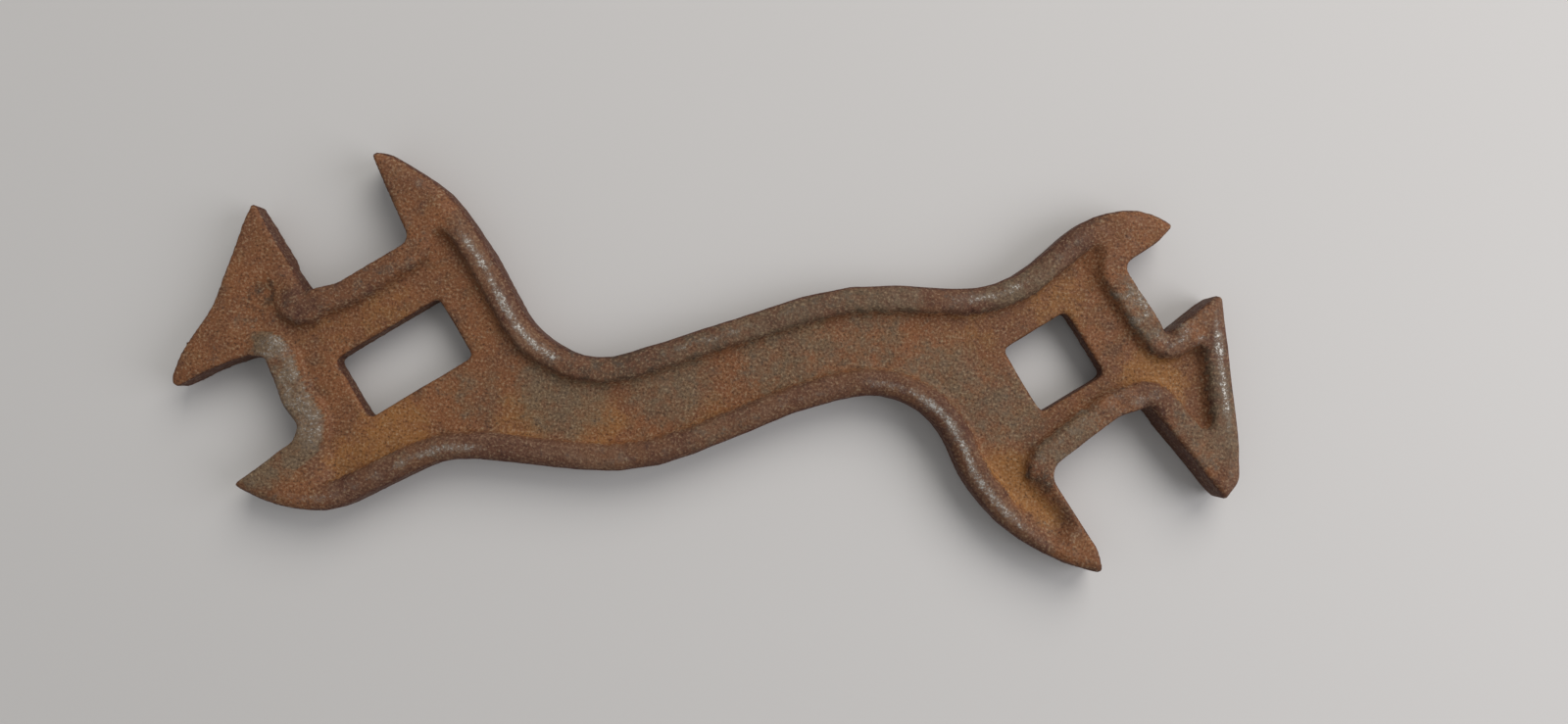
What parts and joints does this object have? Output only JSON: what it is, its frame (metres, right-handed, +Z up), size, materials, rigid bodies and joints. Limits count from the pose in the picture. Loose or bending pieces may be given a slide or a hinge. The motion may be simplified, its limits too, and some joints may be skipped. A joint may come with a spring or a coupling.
{
  "type": "fixed implement wrench",
  "caption": "S-shaped cast iron farm wrench in one piece, with open jaws and a pointed end at each head, raised rims, and an oblong and a square through hole.",
  "frame": {"origin": "on the surface that the wrench lies on, below the middle of its bounding box", "axes": "+X along the wrench, from the head with the oblong hole to the head with the square hole; +Z up, square to the flat of the wrench; +Y across it"},
  "size_m": [0.203, 0.0722, 0.0095],
  "materials": {
    "rusted_cast_iron": "rusted, as cast"
  },
  "bodies": {
    "root": {"wrench_casting": "rusted_cast_iron"}
  },
  "joints": []
}
